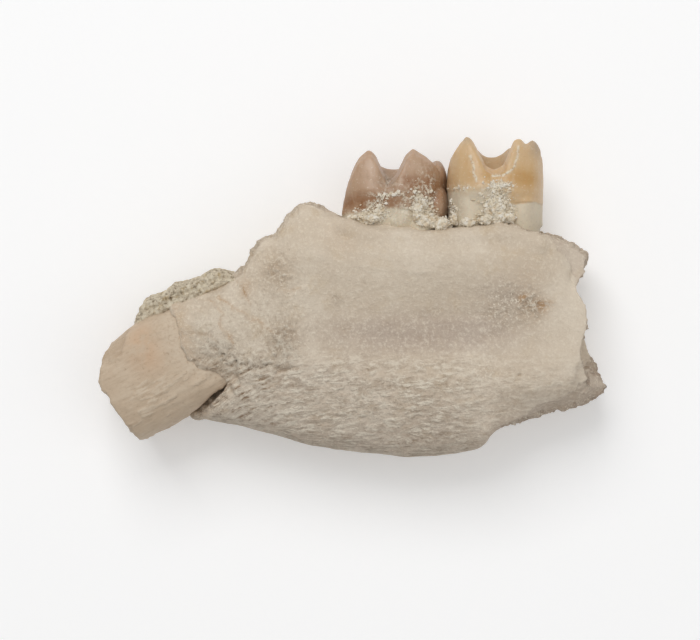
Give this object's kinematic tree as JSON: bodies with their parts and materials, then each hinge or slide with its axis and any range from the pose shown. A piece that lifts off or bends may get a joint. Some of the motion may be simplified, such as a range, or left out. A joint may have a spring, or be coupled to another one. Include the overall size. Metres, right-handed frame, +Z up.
{
  "type": "fossil rodent jaw",
  "caption": "Broken fossil lower jaw of a rodent with worn cheek teeth, an incisor stub and clinging sediment, lying on its outer side as a still specimen.",
  "frame": {"origin": "on the floor under the middle of the jaw's bounding box", "axes": "+X from the incisor to the broken rear end, +Y towards the crowns of the cheek teeth, +Z up, out of the tongue side of the bone"},
  "size_m": [0.0218, 0.0138, 0.0052],
  "materials": {
    "bone": "matt fossil bone, cream with grey and tan stains",
    "incisor_dentine": "smooth tan tooth, slightly silky",
    "enamel_brown": "glossy brown enamel",
    "enamel_honey": "glossy honey-coloured enamel",
    "sediment": "crumbly pale sediment"
  },
  "bodies": {
    "root": {"jaw_bone": "bone", "incisor": "incisor_dentine", "molar_front": "enamel_brown", "molar_rear": "enamel_honey", "matrix_crust": "sediment", "matrix_plug_front": "sediment", "matrix_plug_rear": "sediment"}
  },
  "joints": []
}
